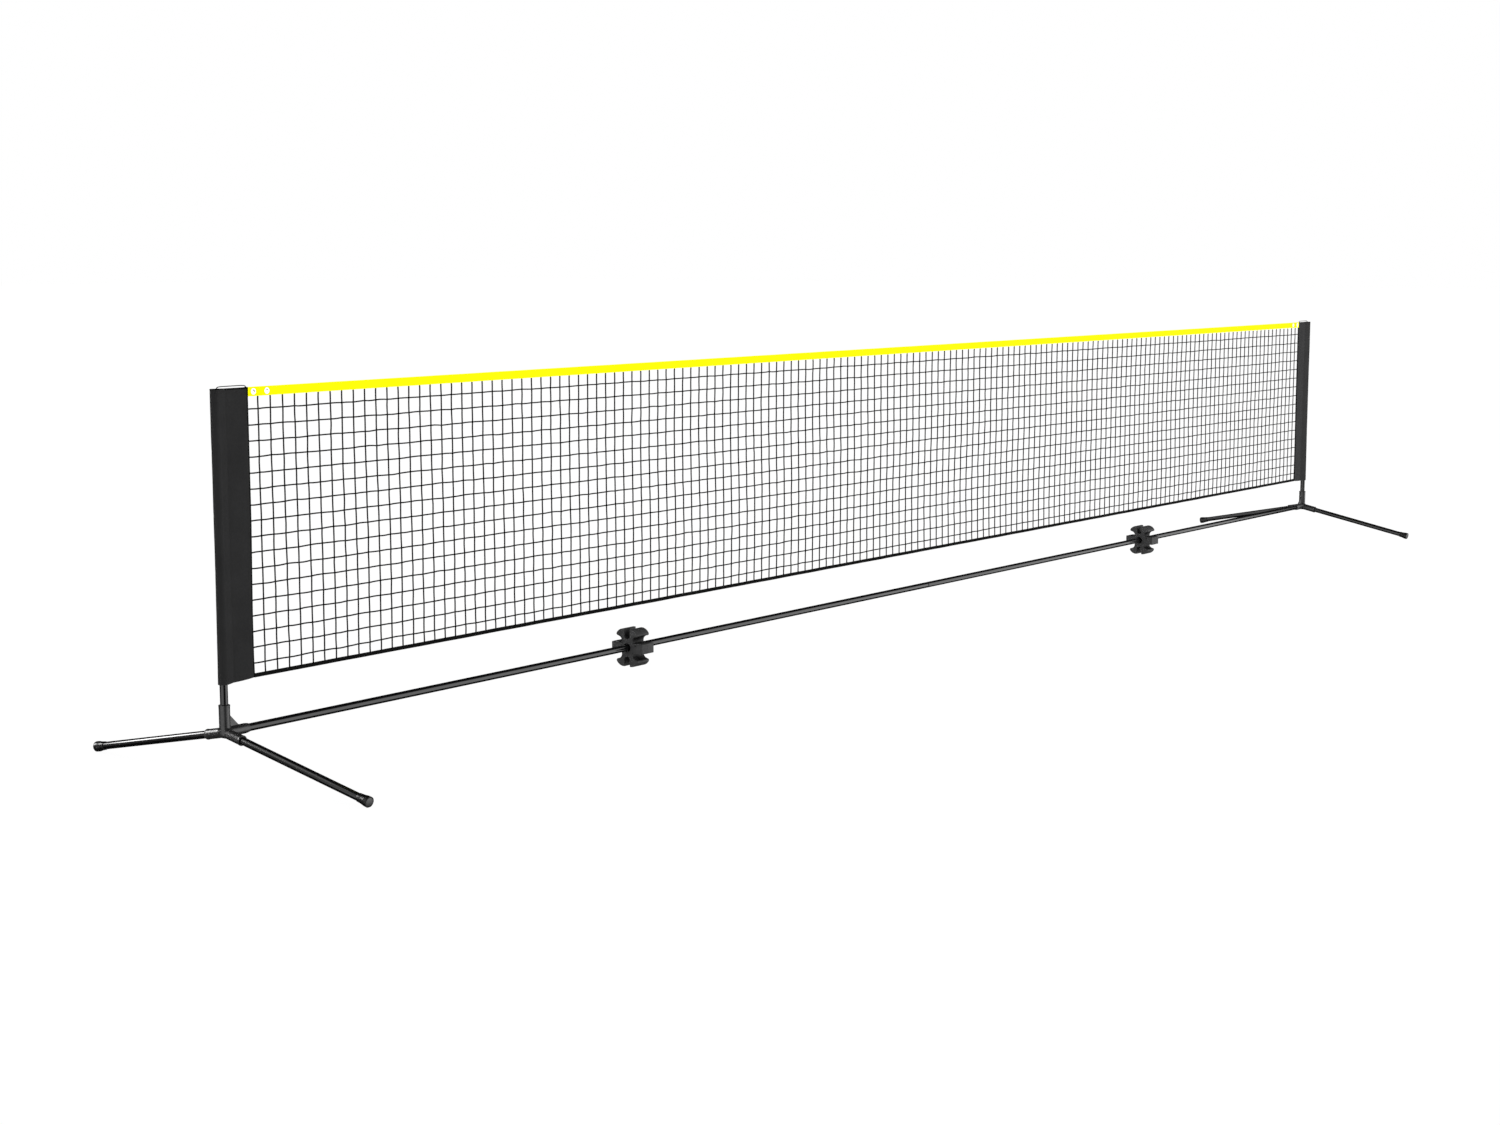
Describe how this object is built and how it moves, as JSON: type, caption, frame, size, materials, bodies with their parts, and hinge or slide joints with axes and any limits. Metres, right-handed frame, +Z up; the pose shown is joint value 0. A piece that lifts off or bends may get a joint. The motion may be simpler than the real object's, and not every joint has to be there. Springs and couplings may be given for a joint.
{
  "type": "portable badminton net",
  "caption": "Free-standing net: square-mesh netting with a headband and fabric sleeves on posts, carried by a low tube base with sloping feet and clip blocks.",
  "frame": {"origin": "on the floor, under the middle of the net", "axes": "+X along the net, +Y across it, +Z up"},
  "size_m": [6.1, 0.977, 0.9263],
  "materials": {
    "black_steel": "gloss black powder coat",
    "black_plastic": "satin moulded plastic",
    "grey_plastic": "satin moulded plastic",
    "black_fabric": "woven polyester",
    "black_twine": "twisted polyethylene twine",
    "yellow_fabric": "woven tape",
    "dark_cord": "twisted cord",
    "bright_metal": "nickel plated"
  },
  "bodies": {
    "base": {"left_base_connector": "black_plastic", "right_base_connector": "black_plastic", "left_front_foot_tube": "black_steel", "left_rear_foot_tube": "black_steel", "right_front_foot_tube": "black_steel", "right_rear_foot_tube": "black_steel", "left_front_foot_cap": "grey_plastic", "left_rear_foot_cap": "grey_plastic", "right_front_foot_cap": "grey_plastic", "right_rear_foot_cap": "grey_plastic", "crossbar_left_outer": "black_steel", "crossbar_left_inner": "black_steel", "crossbar_right_inner": "black_steel", "crossbar_right_outer": "black_steel", "left_storage_hub": "grey_plastic", "right_storage_hub": "grey_plastic"},
    "posts": {"left_post": "black_steel", "right_post": "black_steel", "left_post_plug": "black_plastic", "right_post_plug": "black_plastic"},
    "net": {"left_sleeve": "black_fabric", "right_sleeve": "black_fabric", "headband": "yellow_fabric", "hem": "black_fabric", "netting": "black_twine", "headline_cord": "dark_cord", "hem_cord": "dark_cord", "left_cord_arch": "dark_cord", "right_cord_arch": "dark_cord", "left_outer_eyelet": "bright_metal", "left_inner_eyelet": "bright_metal", "right_outer_eyelet": "bright_metal", "right_inner_eyelet": "bright_metal"}
  },
  "joints": [
    {"name": "posts_lift", "type": "slide", "parent": "base", "child": "posts", "axis": [0, 0, 1], "range_m": [0, 0.05]},
    {"name": "net_lift", "type": "slide", "parent": "posts", "child": "net", "axis": [0, 0, 1], "range_m": [0, 0.7]}
  ]
}
